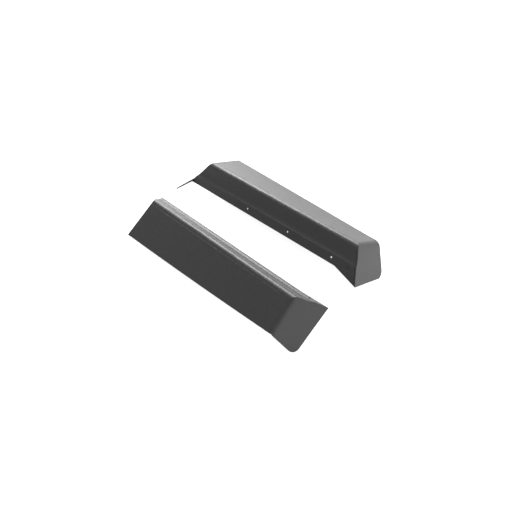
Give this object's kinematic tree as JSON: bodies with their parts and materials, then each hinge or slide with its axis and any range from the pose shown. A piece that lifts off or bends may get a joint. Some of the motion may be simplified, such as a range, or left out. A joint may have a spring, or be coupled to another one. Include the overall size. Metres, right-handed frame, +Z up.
{
  "type": "formed edge guard pair",
  "caption": "Pair of handed thin formed edge guards: top plate, side flange with screw holes, closed toe cap, and a turned-out heel ear on the right guard.",
  "frame": {"origin": "on the surface that the guards lie on, under the middle of the pair's box", "axes": "+X from the heels towards the toe caps, +Y from the left guard towards the right guard, +Z up"},
  "size_m": [0.2942, 0.1974, 0.0591],
  "materials": {
    "guard_sheet": "matte charcoal, with a fine even grain",
    "rivet": "black, satin"
  },
  "bodies": {
    "right_guard": {"right_guard_shell": "guard_sheet", "right_toe_rivet": "rivet"},
    "left_guard": {"left_guard_shell": "guard_sheet", "left_toe_rivet": "rivet"}
  },
  "joints": [
    {"name": "left_guard_lift", "type": "slide", "parent": "right_guard", "child": "left_guard", "axis": [0, 0, 1], "range_m": [0, 0.12]}
  ]
}
